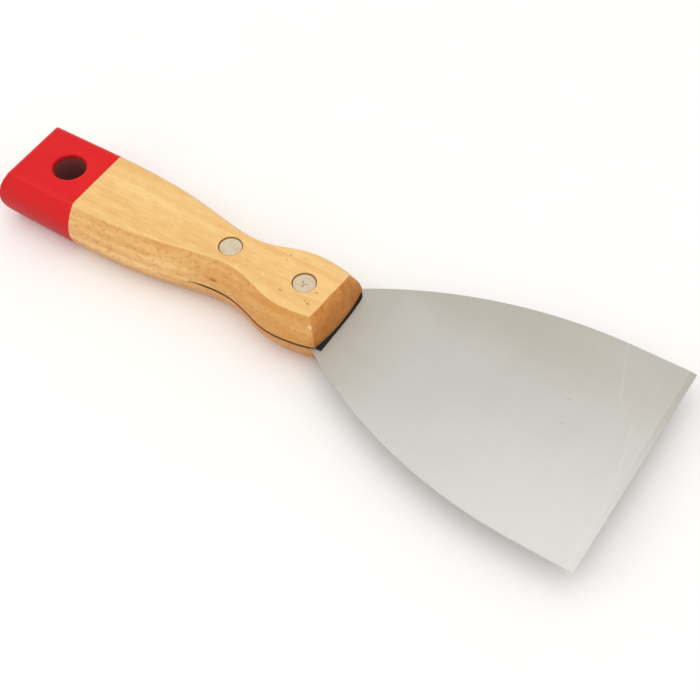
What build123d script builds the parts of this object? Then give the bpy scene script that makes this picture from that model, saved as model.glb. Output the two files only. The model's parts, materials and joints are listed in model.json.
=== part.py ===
from build123d import *
import os

# Flexible putty knife, in millimetres.
# +X runs from the butt of the handle to the working edge of the blade, +Y across the blade, +Z up.
# The origin is on the surface the handle lies on, under the middle of the knife's length.

# Blade
blade_width = 80.0  # across the working edge
blade_reach = 103.0  # from the mouth of the handle to the working edge
blade_thickness = 0.6
blade_flare_length = 18.0  # the last, almost parallel stretch of the sides
blade_flare = 0.25  # how far each side still opens over that stretch
blade_side_radius = 158.0  # the long hollow curve from the parallel stretch to the mouth
grind_width = 2.0  # bevel ground along the working edge
grind_depth = 0.35
tang_half_width = 9.0
tang_length = 48.0
shoulder_depth = 3.0  # how far the full width of the blade enters the mouth
flex_distance = 15.5  # from the mouth to the line that the leaf flexes about
flex_gap = 0.05
flex_edge_radius = 0.299  # a hair under half the thickness, which leaves the edge a narrow flat

# Handle
handle_length = 126.0
handle_thickness = 20.6
side_roll = 4.5  # how far the moulded sides stand out beyond the flat faces
front_roll = 3.7
butt_roll = 3.3
front_crown = 1.1  # the front face is crowned across its width
butt_half_width = 16.7
palm_half_width, palm_distance = 17.0, 96.0  # widest at the palm; distances are from the mouth
taper_half_width, taper_distance = 16.0, 72.0
neck_half_width, neck_distance = 13.6, 56.0
waist_half_width, waist_distance = 11.05, 40.0
swell_half_width, swell_distance = 12.6, 28.4
thumb_half_width, thumb_distance = 15.2, 21.0
flank_half_width, flank_distance = 15.95, 14.0
mouth_half_width, mouth_corner_distance = 13.6, 0.3
mouth_slope = 0.32  # how steeply the sides close in at the mouth

# Saw kerf and its liners
liner_thickness = 0.2
kerf_thickness = blade_thickness + 2 * liner_thickness
kerf_depth = 50.0
liner_length = 49.0
liner_front_half_width = 13.4
liner_back_half_width = 9.5
liner_step_start, liner_step_end = 22.0, 30.0
liner_overhang = 1.8  # the liners stand out in front of the mouth

# Rivets
rivet_distances = {"rear": 41.1, "front": 12.9}  # behind the mouth
head_radius = 3.75
head_thickness = 1.0
head_sink = 0.3  # the heads sit just below the wood
recess_radius = 3.95
sleeve_radius = 2.2
pin_radius = 1.5
pin_clearance = 0.5  # left between the end of the pin and the bottom of the sleeve
hole_clearance = 0.05  # round the sleeves, in the blade and the liners

# Dipped end
dip_distance = 95.4
dip_film = 0.2
hang_hole_distance = 107.0
hang_hole_radius = 5.6

# Places that follow from the dimensions above
overall_length = handle_length + blade_reach
edge_x = overall_length / 2
mouth_x = edge_x - blade_reach
middle_z = handle_thickness / 2
dip_x = mouth_x - dip_distance
hang_hole_x = mouth_x - hang_hole_distance
flex_x = mouth_x + flex_distance
under_blade_z = middle_z - blade_thickness / 2
over_blade_z = middle_z + blade_thickness / 2
rivet_x = {place: mouth_x - distance for place, distance in rivet_distances.items()}


def handle_blank(inset):
    """The moulded handle before sawing and drilling, with every face moved in by inset."""
    half_height = middle_z - inset
    with BuildPart() as blank:
        for height, roll in ((-half_height, 1), (0, 0), (half_height, 1)):
            narrowing = roll * side_roll + inset
            butt_x = mouth_x - handle_length + roll * butt_roll + inset
            front_x = mouth_x + front_crown - roll * front_roll - inset
            corner_x = mouth_x - mouth_corner_distance - roll * front_roll - inset
            corner_y = mouth_half_width - narrowing
            with BuildSketch(Plane.XY.offset(middle_z + height)):
                with BuildLine():
                    side = Spline(
                        (butt_x, butt_half_width - narrowing),
                        (mouth_x - palm_distance, palm_half_width - narrowing),
                        (mouth_x - taper_distance, taper_half_width - narrowing),
                        (mouth_x - neck_distance, neck_half_width - narrowing),
                        (mouth_x - waist_distance, waist_half_width - narrowing),
                        (mouth_x - swell_distance, swell_half_width - narrowing),
                        (mouth_x - thumb_distance, thumb_half_width - narrowing),
                        (mouth_x - flank_distance, flank_half_width - narrowing),
                        (corner_x, corner_y),
                        tangents=((1, 0), (1, -mouth_slope)),
                    )
                    mirror(side, about=Plane.XZ)
                    ThreePointArc(side @ 1, (front_x, 0), (corner_x, -corner_y))
                    Line(side @ 0, (butt_x, narrowing - butt_half_width))
                make_face()
        loft()
    return blank.part


def blade_blank():
    """The whole blade, tang and leaf in one, from the end of the tang to the working edge."""
    flare_x = edge_x - blade_flare_length
    flare_y = blade_width / 2 - blade_flare
    shoulder_x = mouth_x - shoulder_depth
    reach = flare_x - shoulder_x
    shoulder_y = flare_y - blade_side_radius + (blade_side_radius**2 - reach**2) ** 0.5
    tang_x = mouth_x - tang_length
    with BuildPart() as blank:
        with BuildSketch(Plane.XY.offset(under_blade_z)):
            with BuildLine():
                edge = Line((edge_x, 0), (edge_x, blade_width / 2))
                flare = Line(edge @ 1, (flare_x, flare_y))
                side = RadiusArc(flare @ 1, (shoulder_x, shoulder_y), -blade_side_radius)
                shoulder = Line(side @ 1, (shoulder_x, tang_half_width))
                tang_side = Line(shoulder @ 1, (tang_x, tang_half_width))
                Line(tang_side @ 1, (tang_x, 0))
                mirror(about=Plane.XZ)
            make_face()
            with Locations(*[(x, 0) for x in rivet_x.values()]):
                Circle(sleeve_radius + hole_clearance, mode=Mode.SUBTRACT)
        extrude(amount=blade_thickness)
        upper_working_edge = blank.edges().group_by(Axis.Z)[-1].sort_by(Axis.X)[-1]
        chamfer(upper_working_edge, length=grind_depth, length2=grind_width)
    return blank.part


def liner(bottom_z):
    """One dark fibre strip: wide at the mouth, stepping in where the handle has its waist."""
    front_x = mouth_x + liner_overhang
    tail_x = mouth_x - liner_length
    with BuildPart() as strip:
        with BuildSketch(Plane.XY.offset(bottom_z)):
            with BuildLine():
                Polyline(
                    (front_x, 0),
                    (front_x, liner_front_half_width),
                    (mouth_x - liner_step_start, liner_front_half_width),
                    (mouth_x - liner_step_end, liner_back_half_width),
                    (tail_x, liner_back_half_width),
                    (tail_x, 0),
                )
                mirror(about=Plane.XZ)
            make_face()
            with Locations(*[(x, 0) for x in rivet_x.values()]):
                Circle(sleeve_radius + hole_clearance, mode=Mode.SUBTRACT)
        extrude(amount=liner_thickness)
    return strip.part


# Red film on the dipped end: over the outside and down through the hang hole
with BuildPart() as red_end_dip:
    add(handle_blank(0))
    add(handle_blank(dip_film), mode=Mode.SUBTRACT)
    split(bisect_by=Plane.YZ.offset(dip_x), keep=Keep.BOTTOM)
    with Locations((hang_hole_x, 0, middle_z)):
        Cylinder(hang_hole_radius + dip_film, handle_thickness)
        Cylinder(hang_hole_radius, handle_thickness, mode=Mode.SUBTRACT)
red_end_dip.part.label = "red_end_dip"

# The wooden handle: one piece, slimmer by the film's thickness where it is dipped
with BuildPart() as handle:
    add(handle_blank(0))
    add(red_end_dip.part, mode=Mode.SUBTRACT)
    with Locations((hang_hole_x, 0, middle_z)):
        Cylinder(hang_hole_radius + dip_film, handle_thickness, mode=Mode.SUBTRACT)

    # Saw kerf, open at the front and on both sides
    with BuildSketch(Plane.XY.offset(middle_z - kerf_thickness / 2)):
        with Locations((mouth_x - kerf_depth, 0)):
            Rectangle(overall_length, blade_width, align=(Align.MIN, Align.CENTER))
    extrude(amount=kerf_thickness, mode=Mode.SUBTRACT)

    # Rivet holes, counterbored on both faces
    upper_faces = [Plane((x, 0, handle_thickness)) for x in rivet_x.values()]
    lower_faces = [Plane((x, 0, 0), z_dir=(0, 0, -1)) for x in rivet_x.values()]
    with Locations(*upper_faces, *lower_faces):
        CounterBoreHole(sleeve_radius, recess_radius, head_thickness + head_sink)
handle.part.label = "handle"

# Fixed stretch of the spring-steel blade: the tang and the leaf up to the flex line
with BuildPart() as blade_root:
    add(blade_blank())
    split(bisect_by=Plane.YZ.offset(flex_x - blade_thickness / 2 - flex_gap), keep=Keep.BOTTOM)
blade_root.part.label = "blade_root"

# The rest of the leaf, with a half-round back edge centred on the flex line
with BuildPart() as blade_leaf:
    add(blade_blank())
    split(bisect_by=Plane.YZ.offset(flex_x - blade_thickness / 2), keep=Keep.TOP)
    back_edges = blade_leaf.edges().filter_by(Axis.Y).group_by(Axis.X)[0]
    fillet(back_edges, flex_edge_radius)
blade_leaf.part.label = "blade_leaf"

liner_upper = liner(over_blade_z)
liner_upper.label = "liner_upper"
liner_lower = liner(under_blade_z - liner_thickness)
liner_lower.label = "liner_lower"

pieces = [red_end_dip.part, handle.part, blade_root.part, blade_leaf.part, liner_upper, liner_lower]

# Each rivet is a headed pin pressed into a headed sleeve
for place, x in rivet_x.items():
    upper_head_z = handle_thickness - head_sink - head_thickness
    lower_head_z = head_sink + head_thickness
    with BuildPart() as rivet_pin:
        with BuildSketch(Plane.XY.offset(upper_head_z)):
            with Locations((x, 0)):
                Circle(head_radius)
        extrude(amount=head_thickness)
        with BuildSketch(Plane.XY.offset(lower_head_z + pin_clearance)):
            with Locations((x, 0)):
                Circle(pin_radius)
        extrude(amount=upper_head_z - lower_head_z - pin_clearance)
    rivet_pin.part.label = f"rivet_{place}_pin"

    with BuildPart() as rivet_sleeve:
        with BuildSketch(Plane.XY.offset(head_sink)):
            with Locations((x, 0)):
                Circle(head_radius)
        extrude(amount=head_thickness)
        with BuildSketch(Plane.XY.offset(lower_head_z)):
            with Locations((x, 0)):
                Circle(sleeve_radius)
                Circle(pin_radius, mode=Mode.SUBTRACT)
        extrude(amount=upper_head_z - lower_head_z)
    rivet_sleeve.part.label = f"rivet_{place}_sleeve"
    pieces += [rivet_pin.part, rivet_sleeve.part]

os.makedirs("parts", exist_ok=True)
for piece in pieces:
    export_step(piece, f"parts/{piece.label}.step")
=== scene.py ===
import bmesh
import bpy
import json
import math
import numpy as np
from mathutils import Euler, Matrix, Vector
from mathutils.bvhtree import BVHTree


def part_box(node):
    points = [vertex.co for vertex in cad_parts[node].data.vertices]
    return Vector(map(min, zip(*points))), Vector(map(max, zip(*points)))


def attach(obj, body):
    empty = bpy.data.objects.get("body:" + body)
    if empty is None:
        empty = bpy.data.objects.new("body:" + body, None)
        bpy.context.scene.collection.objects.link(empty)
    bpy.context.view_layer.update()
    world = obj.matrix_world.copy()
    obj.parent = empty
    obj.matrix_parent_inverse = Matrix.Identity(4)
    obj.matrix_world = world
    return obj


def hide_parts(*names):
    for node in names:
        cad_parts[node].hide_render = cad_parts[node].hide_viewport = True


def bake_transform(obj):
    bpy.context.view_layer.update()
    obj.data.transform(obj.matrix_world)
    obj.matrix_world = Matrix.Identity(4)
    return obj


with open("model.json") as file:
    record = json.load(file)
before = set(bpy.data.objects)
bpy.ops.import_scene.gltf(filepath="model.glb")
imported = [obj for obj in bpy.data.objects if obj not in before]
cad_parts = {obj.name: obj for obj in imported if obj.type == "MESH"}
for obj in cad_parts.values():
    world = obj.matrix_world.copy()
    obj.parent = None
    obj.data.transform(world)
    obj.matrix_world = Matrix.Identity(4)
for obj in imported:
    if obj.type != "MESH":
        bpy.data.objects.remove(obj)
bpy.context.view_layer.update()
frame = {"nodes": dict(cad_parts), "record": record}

# Flexible putty knife, in metres. X runs from the butt to the working edge, Y across the blade,
# Z up, and the handle lies on z = 0. Left is +Y, as seen by the hand that holds it.
MM = 0.001

wood_low, wood_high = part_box("handle")
dip_low, dip_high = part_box("red_end_dip")
root_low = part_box("blade_root")[0]
leaf_low, leaf_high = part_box("blade_leaf")
strip_low, strip_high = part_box("liner_upper")

top_z = wood_high.z
middle_z = top_z / 2
butt_x = dip_low.x
paint_x = dip_high.x
film = wood_low.x - dip_low.x
edge_x = leaf_high.x
half_edge = leaf_high.y
under_blade_z, over_blade_z = leaf_low.z, leaf_high.z
blade_thickness = over_blade_z - under_blade_z
hang_hole = next(m for m in frame["record"]["mounts"] if m["name"] == "hang_hole")
hang_x = hang_hole["pos_m"][0]
hang_radius = hang_hole["dims"]["r_mm"] * MM
rivet_x = {place: sum(v.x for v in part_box(f"rivet_{place}_pin")) / 2 for place in ("front", "rear")}
head_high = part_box("rivet_front_pin")[1].z
head_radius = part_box("rivet_front_pin")[1].x - rivet_x["front"]

# Moulding that runs all round the handle
side_roll = 4.5 * MM
front_roll = 3.7 * MM
butt_roll = 3.3 * MM
front_crown = 1.4 * MM
front_crown_kept = 0.4  # share of the crown that is left at the flat faces
front_skew = 1.3 * MM  # less roll at the front's left corner than at its right, as it was cut
corner_x = wood_high.x - front_crown
mouth_x = corner_x + 0.3 * MM

# Creases between the moulding and the flat faces: softest at the butt, crisp at the mouth
crease_radius = 3.0 * MM
front_crease = 0.18  # share of crease_radius that is left at the front
butt_corner_crease = 0.45
front_corner_crease = 0.12

# Saw kerf, rivet holes and hang hole
kerf_end_x = root_low.x - 2 * MM
kerf_low, kerf_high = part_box("liner_lower")[0].z, strip_high.z
kerf_taper = 7 * MM
kerf_end_share = 0.55
recess_radius = head_radius + 0.16 * MM
head_thickness = 1.0 * MM
recess_depth = top_z - head_high + head_thickness
shank_radius = 2.2 * MM
pin_radius = 1.5 * MM
hang_rim = 1.0 * MM

# Rivet heads: dished a little, with a rolled edge
head_dish = 0.07 * MM
head_roll = 0.28 * MM
pin_nose = 0.3 * MM
punch_half_width = 0.17 * MM
punch_reach = (0.1 * MM, 1.3 * MM)
punch_turns = (20, 140, 262)

# Blade
tang_half_width = 9.0 * MM
shoulder_x = mouth_x - 3.0 * MM
side_radius = 158.0 * MM
flare_x = edge_x - 18.0 * MM
flare_y = half_edge - 0.25 * MM
grind_width = 2.0 * MM
grind_depth = 0.35 * MM
blade_easing = 0.06 * MM

# Fibre strips
strip_half_width = strip_high.y
strip_tail_half_width = 9.5 * MM
strip_step = (mouth_x - 30.0 * MM, mouth_x - 22.0 * MM)
strip_overhang = strip_high.x - mouth_x
strip_trim = 0.85 * MM  # cut back toward the left side, where it was trimmed out of square
strip_corner = 2 * MM

# Two points that are nearer than this are one
WELD = 0.001 * MM


# ---- Shop tools ----

def stock(bm, name):
    """A bmesh as an object at the origin."""
    mesh = bpy.data.meshes.new(name)
    bm.to_mesh(mesh)
    bm.free()
    body = bpy.data.objects.new(name, mesh)
    bpy.context.scene.collection.objects.link(body)
    return body


def apply(body):
    """Makes the body's modifiers part of its mesh."""
    seen = body.evaluated_get(bpy.context.evaluated_depsgraph_get())
    mesh = bpy.data.meshes.new_from_object(seen)
    mesh.name = body.name
    body.modifiers.clear()
    body.data = mesh


def throw_away(*bodies):
    """Clears used tools and blanks off the bench."""
    for body in bodies:
        bpy.data.objects.remove(body)


def cut(body, *tools):
    """Takes the tools away from the body."""
    for tool in tools:
        modifier = body.modifiers.new("cut", "BOOLEAN")
        modifier.operation = "DIFFERENCE"
        modifier.solver = "EXACT"
        modifier.object = tool
    apply(body)


def turned(profile, x, steps=64):
    """Turns (radius, height) points, from axis to axis, about the vertical line at x."""
    bm = bmesh.new()
    ring = [bm.verts.new((x + radius, 0, height)) for radius, height in profile]
    edges = [bm.edges.new(pair) for pair in zip(ring, ring[1:])]
    bmesh.ops.spin(
        bm, geom=ring + edges, cent=(x, 0, 0), axis=(0, 0, 1),
        angle=2 * math.pi, steps=steps, use_merge=True,
    )
    bmesh.ops.remove_doubles(bm, verts=bm.verts, dist=WELD)
    bmesh.ops.recalc_face_normals(bm, faces=bm.faces)
    return bm


def block(low, high):
    """A square block from corner to corner."""
    bm = bmesh.new()
    bmesh.ops.create_cube(bm, size=1)
    low, high = Vector(low), Vector(high)
    for v in bm.verts:
        v.co = low + (v.co + Vector((0.5, 0.5, 0.5))) * (high - low)
    return bm


def slice_at(bm, x, **settings):
    """Scribes the bmesh right round at x."""
    everything = bm.verts[:] + bm.edges[:] + bm.faces[:]
    return bmesh.ops.bisect_plane(
        bm, geom=everything, dist=WELD, plane_co=(x, 0, 0), plane_no=(1, 0, 0), **settings,
    )


def sheet_cut_to(stations, half_width, rows, bottom_z, thickness, front_of=None):
    """A flat sheet whose half width is given at each station along X."""
    bm = bmesh.new()
    bmesh.ops.create_grid(bm, x_segments=len(stations) - 1, y_segments=rows, size=1)
    for v in bm.verts:
        place = round((v.co.x + 1) / 2 * (len(stations) - 1))
        x = stations[place]
        y = v.co.y * half_width(place)
        if front_of:
            x = min(x, front_of(y))
        v.co = (x, y, bottom_z)
    sheet = bmesh.ops.extrude_face_region(bm, geom=bm.faces[:])
    raised = [g for g in sheet["geom"] if isinstance(g, bmesh.types.BMVert)]
    bmesh.ops.translate(bm, verts=raised, vec=(0, 0, thickness))
    bmesh.ops.recalc_face_normals(bm, faces=bm.faces)
    return bm


def dress(body, material, replaces, crisp=30, ride="handle"):
    """Shading, finish and place in the frame of a piece that is done."""
    body.data.materials.clear()
    body.data.materials.append(material)
    body.data.shade_smooth()
    body.data.set_sharp_from_angle(angle=math.radians(crisp))
    even = body.modifiers.new("even_shading", "WEIGHTED_NORMAL")
    even.keep_sharp = True
    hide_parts(*replaces)
    if ride:
        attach(body, ride)
    return body


# ---- Handle ----

def side_outline():
    """Half the handle's width along its length, taken off the CAD handle just above the kerf."""
    cad = bmesh.new()
    for node in ("handle", "red_end_dip"):
        cad.from_mesh(frame["nodes"][node].data)
    surface = BVHTree.FromBMesh(cad)
    cad.free()
    rise = 1.0 * MM
    inset = 0.2 * MM
    stations = np.linspace(butt_x + inset, corner_x - inset, 160)
    inward = Vector((0, -1, 0))
    widths = np.array([
        surface.ray_cast(Vector((x, half_edge, middle_z + rise)), inward)[0].y for x in stations
    ])
    widths += side_roll * (rise / middle_z) ** 2
    return np.polynomial.Chebyshev.fit(stations, widths, 18)


def handle_blank():
    """The moulded handle before sawing and drilling: a divided cube, shaped, with soft creases."""
    outline = side_outline()
    bm = bmesh.new()
    soft = bm.edges.layers.float.new("bevel_weight_edge")
    bmesh.ops.create_cube(bm, size=2)
    for axis, parts in enumerate((96, 10, 8)):
        lines = [e for e in bm.edges if abs(e.verts[0].co[axis] - e.verts[1].co[axis]) > 1.9]
        bmesh.ops.subdivide_edges(bm, edges=lines, cuts=parts - 1, use_grid_fill=True)

    def sides(v):
        return {(axis, c > 0) for axis, c in enumerate(v.co) if abs(c) > 0.9999}

    def room_by_crease(c):
        return c * (0.84 + 0.16 * c * c)

    creases = [e for e in bm.edges if len(sides(e.verts[0]) & sides(e.verts[1])) == 2]
    corners = [e for e in creases if abs(e.verts[0].co.z - e.verts[1].co.z) > 0.01]
    for v in bm.verts:
        along = (v.co.x + 1) / 2
        across, up = room_by_crease(v.co.y), room_by_crease(v.co.z)
        roll = up * up
        crown = front_crown * (1 - across * across) * (1 - (1 - front_crown_kept) * roll)
        corner_roll = (front_roll - front_skew * max(0, across)) * roll
        back_x = butt_x + butt_roll * roll
        front_x = corner_x + crown - corner_roll
        side_x = back_x + along * (corner_x - corner_roll - back_x)
        y = across * (float(outline(side_x)) - side_roll * roll)
        v.co = (back_x + along * (front_x - back_x), y, middle_z + up * middle_z)
    for e in creases:
        x = (e.verts[0].co.x + e.verts[1].co.x) / 2
        toward_butt = min(max((rivet_x["rear"] - x) / (rivet_x["rear"] - paint_x), 0), 1)
        e[soft] = front_crease + (1 - front_crease) * toward_butt
    for e in corners:
        e[soft] = butt_corner_crease if e.verts[0].co.x < 0 else front_corner_crease
    bmesh.ops.recalc_face_normals(bm, faces=bm.faces)
    blank = stock(bm, "handle_blank")
    bevel = blank.modifiers.new("creases", "BEVEL")
    bevel.limit_method = "WEIGHT"
    bevel.width = crease_radius
    bevel.segments = 6
    apply(blank)
    return blank


def hole_tool(radius, rim, low, high):
    """A turned tool that leaves a hole with rounded rims on both faces."""
    turns = [math.radians(a) for a in (0, 14, 28, 42, 56, 70)]
    upper = [(radius + rim * (1 - math.cos(a)), high - rim + rim * math.sin(a)) for a in turns]
    last_r, last_z = upper[-1]
    run_out = 0.3 * MM
    upper.append((last_r + run_out, last_z + run_out / math.tan(turns[-1])))
    lower = [(r, low + high - z) for r, z in reversed(upper)]
    profile = [(0, lower[0][1]), *lower, *upper, (0, upper[-1][1])]
    return stock(turned(profile, hang_x, steps=96), "hole_tool")


def rivet_hole_tool(x):
    """A drill for the shank with a counterbore for the head at each end."""
    profile = [
        (0, -MM), (recess_radius, -MM), (recess_radius, recess_depth),
        (shank_radius, recess_depth), (shank_radius, top_z - recess_depth),
        (recess_radius, top_z - recess_depth), (recess_radius, top_z + MM), (0, top_z + MM),
    ]
    return stock(turned(profile, x), "rivet_hole_tool")


def saw_tool():
    """The kerf, which closes to a fine end."""
    bm = block((kerf_end_x, -half_edge, kerf_low), (edge_x, half_edge, kerf_high))
    slice_at(bm, kerf_end_x + kerf_taper)
    for v in bm.verts:
        if v.co.x < kerf_end_x + MM:
            v.co.z = middle_z + kerf_end_share * (v.co.z - middle_z)
    return stock(bm, "saw_tool")


def wooden_handle(blank, wood):
    """The blank let in by the film's thickness where it is dipped, then sawn and drilled."""
    bm = bmesh.new()
    bm.from_mesh(blank.data)
    step = 0.06 * MM
    for x in (paint_x, paint_x - step):
        slice_at(bm, x)
    bm.normal_update()
    dipped = [(v, v.normal.copy()) for v in bm.verts if v.co.x < paint_x - step / 2]
    for v, outward in dipped:
        v.co -= outward * film
    handle = stock(bm, "wooden_handle")
    tools = [
        saw_tool(), rivet_hole_tool(rivet_x["front"]), rivet_hole_tool(rivet_x["rear"]),
        hole_tool(hang_radius + film, hang_rim, film, top_z - film),
    ]
    cut(handle, *tools)
    throw_away(*tools)
    return dress(handle, wood, ["handle"])


def red_dip(blank, handle, paint):
    """The red film: the blank's end, hollowed by the wood that it covers."""
    bm = bmesh.new()
    bm.from_mesh(blank.data)
    clear = 0.03 * MM
    cap = slice_at(bm, paint_x - clear, clear_outer=True)
    rim = [g for g in cap["geom_cut"] if isinstance(g, bmesh.types.BMEdge)]
    bmesh.ops.contextual_create(bm, geom=rim)
    bmesh.ops.recalc_face_normals(bm, faces=bm.faces)
    dip = stock(bm, "red_dip_film")
    tool = hole_tool(hang_radius, hang_rim, 0, top_z)
    cut(dip, tool, handle)
    throw_away(tool)
    return dress(dip, paint, ["red_end_dip"])


# ---- Blade, strips and rivets ----

def drill_for_sleeves(body):
    """Bores the body for the rivets' shanks."""
    profile = [(0, -MM), (shank_radius, -MM), (shank_radius, top_z), (0, top_z)]
    drills = [stock(turned(profile, x), "shank_drill") for x in rivet_x.values()]
    cut(body, *drills)
    throw_away(*drills)


def blade_half_width(x):
    """The hollow side of the leaf, then the short straight flare to the working edge."""
    if x > flare_x:
        return flare_y + (half_edge - flare_y) * (x - flare_x) / (edge_x - flare_x)
    return flare_y - side_radius + math.sqrt(side_radius**2 - (flare_x - x) ** 2)


def steel_blade(steel):
    """Tang and leaf in one sheet, ground along the upper side of the working edge."""
    grind_x = edge_x - grind_width
    tang = list(np.linspace(root_low.x, shoulder_x, 12))
    leaf = list(np.linspace(shoulder_x + 0.02 * MM, grind_x, 72))
    ground = list(np.linspace(grind_x, edge_x, 5))[1:]
    stations = tang + leaf + ground

    def half_width(place):
        return tang_half_width if place < len(tang) else blade_half_width(stations[place])

    bm = sheet_cut_to(stations, half_width, 28, under_blade_z, blade_thickness)
    for v in bm.verts:
        if v.co.z > middle_z and v.co.x > grind_x:
            v.co.z -= grind_depth * (v.co.x - grind_x) / grind_width
    rims = [e for e in bm.edges if e.calc_face_angle(0) > math.radians(50)]
    bmesh.ops.bevel(
        bm, geom=rims, offset=blade_easing, affect="EDGES", segments=2, profile=0.5, material=-1,
        clamp_overlap=True,
    )
    blade = stock(bm, "steel_blade")
    drill_for_sleeves(blade)
    dress(blade, steel, ["blade_root", "blade_leaf"], crisp=40, ride=None)
    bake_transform(blade)
    return blade


def fibre_strip(name, node, bottom_z, fibre):
    """A dark strip between blade and wood, trimmed by hand a little out of square."""
    tail, step = strip_low.x, strip_step
    front_x = mouth_x + strip_overhang
    by_front_rivet = (-4 * MM, 4 * MM)
    stations = [tail, (tail + step[0]) / 2, *np.linspace(*step, 5), *by_front_rivet]
    stations += list(np.linspace(mouth_x - 2 * MM, front_x, 9))

    def half_width(place):
        share = min(max((stations[place] - step[0]) / (step[1] - step[0]), 0), 1)
        return strip_tail_half_width + share * (strip_half_width - strip_tail_half_width)

    def front(y):
        trim = strip_trim * max(0, y / strip_half_width) ** 2
        corner = 0.7 * max(0, y - strip_half_width + strip_corner)
        return front_x - trim - corner

    bm = sheet_cut_to(stations, half_width, 16, bottom_z, strip_high.z - strip_low.z, front)
    bmesh.ops.remove_doubles(bm, verts=bm.verts, dist=WELD)
    strip = stock(bm, name)
    drill_for_sleeves(strip)
    return dress(strip, fibre, [node])


def head_profile(top, down):
    """A head from its middle to the start of its side. down is -1 for the upper head."""
    rim = head_radius - head_roll
    dish = [(0, head_dish), (rim * 0.5, head_dish * 0.8), (rim * 0.86, 0.01 * MM)]
    turns = [math.radians(a) for a in (90, 67, 45, 22, 0)]
    edge = [(rim + head_roll * math.cos(a), head_roll * (1 - math.sin(a))) for a in turns]
    return [(radius, top + down * drop) for radius, drop in dish + edge]


def punch_mark(x, turn):
    """One short groove that runs out from near the middle of the rivet's head."""
    near, far = punch_reach
    w = punch_half_width
    bm = block((near, -w, -w), (far, w, w))
    tilt = Euler((math.radians(45), 0, math.radians(turn))).to_matrix()
    bmesh.ops.rotate(bm, verts=bm.verts, matrix=tilt)
    middle = (x + 0.2 * MM, -0.3 * MM, head_high - head_dish)
    bmesh.ops.translate(bm, verts=bm.verts, vec=middle)
    return stock(bm, "punch_mark")


def rivet(place, metal):
    """A headed pin pressed into a headed sleeve, with a punch mark on the front pin."""
    x = rivet_x[place]
    low = top_z - head_high
    under_head = head_high - head_thickness
    over_head = low + head_thickness
    pin_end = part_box(f"rivet_{place}_pin")[0].z
    pin = stock(turned([
        *head_profile(head_high, -1), (head_radius, under_head), (pin_radius, under_head),
        (pin_radius, pin_end + pin_nose), (pin_radius - pin_nose, pin_end), (0, pin_end),
    ], x), f"rivet_{place}_headed_pin")
    sleeve = stock(turned([
        *head_profile(low, 1), (head_radius, over_head), (shank_radius, over_head),
        (shank_radius, under_head), (pin_radius, under_head), (pin_radius, over_head),
        (0, over_head),
    ], x), f"rivet_{place}_headed_sleeve")
    if place == "front":
        marks = [punch_mark(x, turn) for turn in punch_turns]
        cut(pin, *marks)
        throw_away(*marks)
    dress(pin, metal, [f"rivet_{place}_pin"])
    dress(sleeve, metal, [f"rivet_{place}_sleeve"])


# ---- Finishes ----

def srgb(r, g, b):
    """A colour from its 0 to 255 values."""
    def linear(c):
        c /= 255
        return c / 12.92 if c <= 0.04045 else ((c + 0.055) / 1.055) ** 2.4
    return (linear(r), linear(g), linear(b), 1)


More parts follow.
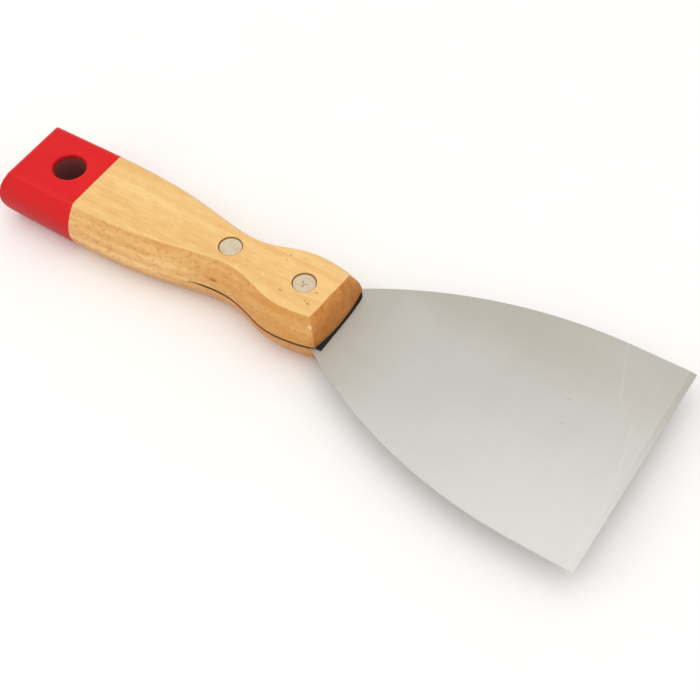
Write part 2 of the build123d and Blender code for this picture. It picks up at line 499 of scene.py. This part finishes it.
class Bench:
    """One finish on the bench: its pattern tools, and the colour laid so far."""

    def __init__(self, name):
        self.material = bpy.data.materials.new(name)
        self.material.use_nodes = True
        self.tree = self.material.node_tree
        self.surface = self.tree.nodes["Principled BSDF"]
        coordinates = self.add("TexCoord").outputs
        self.place, self.outward = coordinates["Object"], coordinates["Normal"]
        self.along, self.across, self.up = (self.part_of(self.place, axis) for axis in "XYZ")
        self.colour = None

    def add(self, kind, inputs=None, **settings):
        node = self.tree.nodes.new("ShaderNode" + kind)
        for key, value in settings.items():
            setattr(node, key, value)
        for key, value in (inputs or {}).items():
            self.join(value, node.inputs[key])
        return node

    def join(self, value, socket):
        if isinstance(value, bpy.types.NodeSocket):
            self.tree.links.new(value, socket)
        else:
            socket.default_value = value

    def finish(self, **inputs):
        """Puts the colour and the given inputs on the surface."""
        self.join(self.colour, self.surface.inputs["Base Color"])
        for key, value in inputs.items():
            name = key.replace("_", " ").title().replace("Ior", "IOR")
            self.join(value, self.surface.inputs[name])
        return self.material

    # Arithmetic on patterns

    def maths(self, operation, a, b=0.0):
        return self.add("Math", {0: a, 1: b}, operation=operation).outputs["Value"]

    def times(self, a, b):
        return self.maths("MULTIPLY", a, b)

    def plus(self, a, b):
        return self.maths("ADD", a, b)

    def off(self, value, centre):
        """How far value is from centre, either way."""
        return self.maths("ABSOLUTE", self.maths("SUBTRACT", value, centre))

    def between(self, value, low, high, to_low=0.0, to_high=1.0, smooth=True):
        """Value's stretch from low to high, spread from to_low to to_high."""
        inputs = {
            "Value": value, "From Min": low, "From Max": high, "To Min": to_low, "To Max": to_high,
        }
        kind = "SMOOTHSTEP" if smooth else "LINEAR"
        return self.add("MapRange", inputs, interpolation_type=kind).outputs["Result"]

    def part_of(self, vector, axis):
        return self.add("SeparateXYZ", {"Vector": vector}).outputs[axis]

    # Patterns

    def stretched(self, scale, turn=(0, 0, 0), shift=(0, 0, 0)):
        inputs = {"Vector": self.place, "Scale": scale, "Rotation": turn, "Location": shift}
        return self.add("Mapping", inputs).outputs["Vector"]

    def noise(self, vector, scale=1, detail=3, roughness=0.5, distortion=0):
        inputs = {
            "Vector": vector, "Scale": scale, "Detail": detail, "Roughness": roughness,
            "Distortion": distortion,
        }
        return self.add("TexNoise", inputs).outputs["Fac"]

    def away_from(self, centre, stretch=(1, 1, 1)):
        """Distance from centre, with each axis stretched."""
        near = self.add("VectorMath", {0: self.place, 1: centre}, operation="SUBTRACT")
        near = self.add(
            "VectorMath", {0: near.outputs["Vector"], 1: stretch}, operation="MULTIPLY",
        )
        length = self.add("VectorMath", {0: near.outputs["Vector"]}, operation="LENGTH")
        return length.outputs["Value"]

    def away_from_axis(self, x):
        """Distance from the vertical line at x."""
        return self.away_from((x, 0, 0), stretch=(1, 1, 0))

    def spot(self, centre, radius, stretch=(1, 1, 1)):
        """1 at centre, falling to 0 at radius."""
        return self.between(self.away_from(centre, stretch), 0.35 * radius, radius, 1, 0)

    def crease(self):
        """1 on the eased crease between a flat face and the moulding, by how far it leans."""
        upright = self.maths("ABSOLUTE", self.part_of(self.outward, "Z"))
        steep_side = self.between(upright, 0.68, 0.8)
        flat_side = self.between(upright, 0.99, 0.94)
        return self.times(steep_side, flat_side)

    # Colour and relief

    def ramp(self, value, *stops):
        node = self.add("ValToRGB", {"Fac": value})
        elements = node.color_ramp.elements
        while len(elements) < len(stops):
            elements.new(0.5)
        for element, (position, colour) in zip(elements, stops):
            element.position = position
            element.color = colour
        return node.outputs["Color"]

    def lay(self, tone, share, how="MIX"):
        """Lays a tone over the colour so far, as strongly as share says."""
        inputs = {0: share, 6: self.colour, 7: tone}
        self.colour = self.add("Mix", inputs, data_type="RGBA", blend_type=how).outputs[2]

    def lay_where(self, *layers):
        """Lays tones, each where a pattern runs from low to high, up to its own strength."""
        for pattern, low, high, strength, tone in layers:
            self.lay(tone, self.between(pattern, low, high, 0, strength))

    def bump(self, height, distance, strength):
        inputs = {"Height": height, "Distance": distance, "Strength": strength}
        return self.add("Bump", inputs).outputs["Normal"]


def lacquered_beech():
    b = Bench("lacquered_beech")
    broad = b.noise(b.stretched((9, 45, 45)), detail=2, distortion=0.6)
    mottle = b.noise(b.stretched((150, 330, 330)), detail=4, roughness=0.65)
    rings = b.add(
        "TexWave",
        {"Vector": b.stretched((2.2, 20, 34), turn=(0.5, 0.05, 0.04)), "Scale": 3.4,
         "Distortion": 5, "Detail": 2, "Detail Scale": 0.8},
        bands_direction="Y",
    ).outputs["Fac"]
    fibres = b.noise(b.stretched((110, 1500, 1500)), detail=4, roughness=0.6)
    streaks = b.noise(b.stretched((24, 260, 260)), detail=3, roughness=0.55)
    flecks = b.noise(b.stretched((420, 2400, 2400)), detail=1)
    b.colour = b.ramp(
        broad, (0.3, srgb(229, 184, 114)), (0.5, srgb(236, 195, 127)), (0.7, srgb(240, 201, 134)),
    )
    b.lay_where(
        (rings, 0.35, 0.95, 0.25, srgb(226, 170, 96)),
        (streaks, 0.52, 0.7, 0.34, srgb(220, 160, 86)),
        (streaks, 0.48, 0.3, 0.34, srgb(248, 212, 150)),
        (mottle, 0.5, 0.7, 0.3, srgb(224, 164, 90)),
        (mottle, 0.5, 0.3, 0.3, srgb(250, 216, 154)),
        (fibres, 0.42, 0.7, 0.2, srgb(206, 146, 78)),
        (flecks, 0.68, 0.78, 0.4, srgb(184, 120, 58)),
    )

    # The moulded sides get painted shade, darker than the flats, most of all toward the mouth.
    # Their streaks show best toward the butt, and open pores show all over them.
    steep = b.between(b.maths("ABSOLUTE", b.part_of(b.outward, "Z")), 0.97, 0.6)
    shade_depth = b.between(b.along, -54 * MM, -12 * MM, 0.22, 1)
    b.lay((0.79, 0.6, 0.37, 1), b.times(steep, shade_depth), "MULTIPLY")
    side_streaks = b.noise(b.stretched((12, 150, 420), shift=(0.3, 0, 0)), detail=3)
    clear = b.times(steep, b.between(b.along, -26 * MM, -54 * MM, 0.16, 0.45))
    b.lay(srgb(250, 210, 150), b.times(clear, b.between(side_streaks, 0.5, 0.64)))
    b.lay(srgb(204, 142, 72), b.times(clear, b.between(side_streaks, 0.48, 0.34)))
    pores = b.noise(b.stretched((520, 900, 900), shift=(0.1, 0.2, 0)), detail=2, roughness=0.6)
    b.lay(srgb(190, 122, 58), b.times(steep, b.between(pores, 0.5, 0.7, 0, 0.5)))
    # Painted shade on the sides as they turn downward
    under = b.between(b.part_of(b.outward, "Z"), 0.2, -0.7, 0, 0.7)
    b.lay((0.74, 0.56, 0.38, 1), b.times(under, steep), "MULTIPLY")

    # End grain drinks the most lacquer; its darker tone is also partly painted shade
    end_tone = b.ramp(mottle, (0.35, srgb(218, 146, 66)), (0.65, srgb(192, 114, 40)))
    b.lay(end_tone, b.between(b.part_of(b.outward, "X"), 0.3, 0.8, 0, 0.9))
    # Darker toward the mouth, low on the front face by the blade: painted shade
    b.lay(srgb(148, 88, 36), b.between(b.along, corner_x - 2.5 * MM, mouth_x, 0, 0.45))

    # Paler along the creases, partly wear and partly a painted highlight, with a nick at the front
    # corner
    wear_and_highlight = b.times(b.crease(), b.between(mottle, 0.35, 0.65, 0.1, 0.42))
    wear_and_highlight = b.times(wear_and_highlight, b.between(b.along, -72 * MM, -36 * MM))
    b.lay(srgb(252, 220, 158), wear_and_highlight)
    nick = b.spot((8.5 * MM, -11.9 * MM, 17.7 * MM), 1.1 * MM, stretch=(1.2, 1.5, 0.7))
    ragged = b.between(b.noise(b.place, 1400, detail=2), 0.38, 0.6, 0, 0.6)
    b.lay(srgb(246, 236, 214), b.times(nick, ragged))

    # Specks on the upper face, and a small knot with a dark heart in the right side
    specks = (
        (4.2, -6.5, 0.36), (2.9, -6.1, 0.2), (4.3, -1.4, 0.3),
        (-6.1, -6.4, 0.3), (-11.2, 7.1, 0.24), (-11.1, 4.7, 0.17),
    )
    for x, y, radius in specks:
        speck = b.spot((x * MM, y * MM, top_z), radius * 1.6 * MM, stretch=(0.6, 1, 1))
        b.lay(srgb(140, 84, 40), b.times(speck, 0.6))
    knot_place = (-29.6 * MM, -10.3 * MM, 14.3 * MM)
    knot = b.spot(knot_place, 2.0 * MM, stretch=(0.55, 1, 1.6))
    b.lay(srgb(206, 128, 48), b.times(knot, b.between(mottle, 0.3, 0.6, 0.3, 0.8)))
    heart = b.spot(knot_place, 0.9 * MM, stretch=(0.55, 1, 1.4))
    b.lay(srgb(140, 76, 30), b.times(heart, 0.7))

    # Painted shade inside the kerf, and round and down each rivet's counterbore
    kerf_shade = b.between(b.off(b.up, middle_z), 0.5 * MM, 0.7 * MM, 1, 0)
    from_end = b.between(b.along, kerf_end_x - MM, kerf_end_x + 6 * MM, 0, 0.9)
    b.lay(srgb(140, 98, 66), b.times(kerf_shade, from_end))
    for x in rivet_x.values():
        away = b.away_from_axis(x)
        b.lay(srgb(122, 80, 46), b.between(away, recess_radius, recess_radius + 0.35 * MM, 0.45, 0))

    relief = b.plus(b.times(fibres, 0.6), b.times(mottle, 0.35))
    relief = b.maths("SUBTRACT", relief, b.between(flecks, 0.64, 0.78, 0, 0.4))
    return b.finish(
        roughness=b.between(mottle, 0.3, 0.7, 0.4, 0.56), specular_ior_level=0.35,
        coat_weight=0.15, coat_roughness=0.3, normal=b.bump(relief, 0.07 * MM, 0.6),
    )


def red_dip_paint():
    b = Bench("red_dip_paint")
    cloudy = b.noise(b.stretched((30, 60, 60)), detail=2)
    peel = b.noise(b.place, 650, detail=2)
    grain = b.noise(b.stretched((40, 500, 500)), detail=2)
    specks = b.noise(b.place, 1500, detail=1)
    b.colour = b.ramp(
        cloudy, (0.3, srgb(208, 20, 26)), (0.55, srgb(216, 23, 28)), (0.75, srgb(222, 28, 31)),
    )
    # Dark specks, and a darker red as the faces turn from upright toward downward, which is painted
    # shade
    b.lay_where(
        (specks, 0.72, 0.8, 0.4, srgb(120, 14, 20)),
        (b.part_of(b.outward, "Z"), 0.85, -0.5, 0.8, srgb(172, 10, 16)),
    )

    # Rubbed thin in dots along the creases, with a few dirty marks
    away = b.away_from_axis(hang_x)
    dots = b.between(b.noise(b.place, 2000, detail=1), 0.55, 0.72, 0, 0.3)
    clear_of_hole = b.between(away, hang_radius + 2.5 * MM, hang_radius + 3 * MM)
    b.lay(srgb(232, 84, 50), b.times(b.times(b.crease(), dots), clear_of_hole))
    marks = (
        (-108.5, -14.0, 8.6, 0.7), (-113.6, 6.0, 11.5, 0.5), (-110.6, 10.2, 20.3, 0.6),
    )
    for x, y, z, radius in marks:
        mark = b.spot((x * MM, y * MM, z * MM), radius * MM, stretch=(0.8, 1, 1))
        b.lay(srgb(110, 18, 24), b.times(mark, 0.75))

    # Painted shade down the hole
    depth = b.off(b.up, middle_z)
    in_hole = b.between(away, hang_radius + 0.7 * MM, hang_radius + 0.1 * MM)
    shade_depth = b.between(depth, middle_z - 0.4 * MM, middle_z - 3.2 * MM)
    b.lay(srgb(140, 78, 74), b.times(in_hole, shade_depth))

    relief = b.plus(b.times(peel, 0.6), b.times(grain, 0.5))
    return b.finish(
        roughness=b.between(cloudy, 0.3, 0.7, 0.42, 0.52), specular_ior_level=0.18,
        normal=b.bump(relief, 0.05 * MM, 0.6),
    )


def satin_steel():
    b = Bench("satin_steel")
    lines = b.noise(b.stretched((420, 10, 420)), detail=5, roughness=0.7)
    fine = b.noise(b.stretched((2600, 80, 2600)), detail=2)
    coarse = b.noise(b.stretched((2600, 1500, 2600)), detail=2)
    cloudy = b.noise(b.stretched((14, 22, 14)), detail=3, distortion=0.8)
    blotches = b.noise(b.place, 95, detail=4, roughness=0.6)
    b.colour = b.ramp(cloudy, (0.3, srgb(200, 199, 195)), (0.7, srgb(207, 206, 203)))
    b.lay_where(
        (lines, 0.35, 0.7, 0.1, srgb(186, 182, 174)),
        (blotches, 0.45, 0.7, 0.1, srgb(192, 187, 178)),
    )

    # Painted light toward the right side; painted shade, a little duller, by the mouth and the left
    # side.
    painted_light_right = b.times(
        b.between(b.across, 8 * MM, -34 * MM), b.between(b.along, 30 * MM, 90 * MM),
    )
    b.lay(srgb(220, 220, 220), b.times(painted_light_right, 0.5))
    left = b.times(
        b.between(b.across, 6 * MM, 32 * MM), b.between(b.along, 100 * MM, 60 * MM, 0.6, 1),
    )
    painted_shade_left_and_mouth = b.maths("MAXIMUM", left, b.between(b.along, 40 * MM, 14 * MM))
    b.lay(srgb(166, 154, 130), b.times(painted_shade_left_and_mouth, 0.34))

    # A painted reflection line from a faint kink that wanders across the sheet near the edge
    path = b.add("FloatCurve", {"Value": b.between(b.across, -half_edge, half_edge, smooth=False)})
    wanders = (
        (0, 0.93), (0.225, 0.92), (0.42, 0.87), (0.61, 0.78),
        (0.66, 0.745), (0.72, 0.585), (0.84, 0.46), (1, 0.33),
    )
    curve = path.mapping.curves[0]
    while len(curve.points) < len(wanders):
        curve.points.new(0.5, 0.5)
    for point, location in zip(curve.points, wanders):
        point.location = location
    path.mapping.update()
    kink_x = b.plus(b.times(path.outputs["Value"], 35 * MM), 80 * MM)
    kink_reflection = b.between(b.off(b.along, kink_x), 0, 0.75 * MM, 1, 0)
    kink_reflection = b.times(kink_reflection, b.between(blotches, 0.35, 0.6, 0.3, 1))
    kink_reflection = b.times(kink_reflection, b.between(b.across, -28 * MM, 10 * MM, 0.2, 1))
    b.lay(srgb(240, 234, 222), b.times(kink_reflection, 0.15))

    scratches = (
        (86.3, 11.3, 1.1), (90.8, 12.5, 0.6), (88.3, 2.5, 1.2),
        (97.6, -23.9, 0.35), (111.2, -16.5, 0.3), (111.6, -29.7, 0.4),
    )
    for x, y, reach in scratches:
        scratch = b.spot((x * MM, y * MM, over_blade_z), reach * MM, stretch=(1, 4, 1))
        b.lay(srgb(120, 116, 108), b.times(scratch, 0.3))

    # The ground strip is coarser, and darker toward the left corner
    grind_x, fade = edge_x - grind_width, 0.15 * MM
    ground = b.between(b.along, grind_x - fade, grind_x + fade)
    dark = b.times(
        b.between(b.across, -25 * MM, 35 * MM, 0.05, 0.4), b.between(coarse, 0.35, 0.65, 0.3, 1),
    )
    b.lay(srgb(168, 160, 146), b.times(ground, dark))

    relief = b.plus(b.times(lines, 0.5), b.times(fine, 0.4))
    relief = b.plus(relief, b.times(ground, coarse))
    rough = b.plus(b.between(cloudy, 0.3, 0.7, 0.38, 0.43), b.between(fine, 0.3, 0.7, -0.03, 0.03))
    return b.finish(metallic=1.0, roughness=rough, normal=b.bump(relief, 0.02 * MM, 0.35))


def dull_rivet_metal():
    b = Bench("dull_rivet_metal")
    cloudy = b.noise(b.place, 520, detail=4, roughness=0.6)
    pits = b.noise(b.place, 2200, detail=2)
    b.colour = b.ramp(
        cloudy, (0.3, srgb(203, 185, 157)), (0.5, srgb(212, 195, 167)), (0.7, srgb(219, 204, 178)),
    )
    # Darker below the top of each head, in the punch grooves and down the rolled edge: painted shade
    below_top = head_high - middle_z
    b.lay_where(
        (pits, 0.6, 0.72, 0.3, srgb(160, 144, 118)),
        (b.off(b.up, middle_z), below_top - 0.1 * MM, below_top - 0.24 * MM, 0.5,
         srgb(128, 118, 108)),
    )
    relief = b.plus(cloudy, b.times(pits, 0.4))
    return b.finish(
        metallic=0.35, roughness=b.between(cloudy, 0.3, 0.7, 0.45, 0.6),
        normal=b.bump(relief, 0.03 * MM, 0.5),
    )


def dark_fibre():
    b = Bench("dark_fibre")
    weave = b.noise(b.place, 1400, detail=3)
    b.colour = b.ramp(weave, (0.3, srgb(12, 22, 24)), (0.7, srgb(30, 44, 44)))
    return b.finish(
        roughness=b.between(weave, 0.3, 0.7, 0.6, 0.8), specular_ior_level=0.2,
        normal=b.bump(weave, 0.04 * MM, 0.6),
    )


def pale_floor():
    b = Bench("pale_floor")
    mottle = b.noise(b.place, 40, detail=2)
    b.colour = b.ramp(mottle, (0.3, (0.94, 0.94, 0.94, 1)), (0.7, (0.95, 0.95, 0.95, 1)))
    return b.finish(roughness=0.8)


# ---- Studio ----

def studio():
    """Camera, even surroundings, two softboxes and a pale floor just under the knife."""
    scene = bpy.context.scene
    scene.view_settings.view_transform = "Standard"
    camera = bpy.data.objects.new("camera", bpy.data.cameras.new("camera"))
    camera.data.lens = 76.147
    camera.data.sensor_width = 36
    camera.data.clip_start = 0.01
    camera.location = (0.175877, -0.234468, 0.374192)
    camera.rotation_euler = [math.radians(a) for a in (37.0313, 1.0971, 33.0029)]
    scene.collection.objects.link(camera)
    scene.camera = camera

    world = bpy.data.worlds.new("studio")
    world.use_nodes = True
    surroundings = world.node_tree.nodes["Background"].inputs
    surroundings["Color"].default_value = (1.0, 0.975, 0.94, 1)
    surroundings["Strength"].default_value = 0.85
    scene.world = world

    for name, place, size, energy, colour in (
        ("softbox_above", (0.1, -0.1, 1.1), 1.4, 4.0, (0.985, 0.993, 1.0)),
        ("softbox_left", (-0.9, -0.5, 0.7), 0.6, 1.6, (1.0, 0.98, 0.95)),
    ):
        light = bpy.data.lights.new(name, "AREA")
        light.shape = "SQUARE"
        light.size = size
        light.energy = energy
        light.color = colour
        lamp = bpy.data.objects.new(name, light)
        lamp.location = place
        lamp.rotation_euler = (-Vector(place)).to_track_quat("-Z", "Y").to_euler()
        scene.collection.objects.link(lamp)

    bm = bmesh.new()
    bmesh.ops.create_grid(bm, x_segments=1, y_segments=1, size=2)
    bmesh.ops.translate(bm, verts=bm.verts, vec=(0, 0, -0.05 * MM))
    floor = stock(bm, "floor")
    floor.data.materials.append(pale_floor())


studio()
steel, fibre, metal = satin_steel(), dark_fibre(), dull_rivet_metal()
blank = handle_blank()
handle = wooden_handle(blank, lacquered_beech())
red_dip(blank, handle, red_dip_paint())
throw_away(blank)
steel_blade(steel)
fibre_strip("fibre_strip_upper", "liner_upper", over_blade_z, fibre)
fibre_strip("fibre_strip_lower", "liner_lower", kerf_low, fibre)
rivet("front", metal)
rivet("rear", metal)
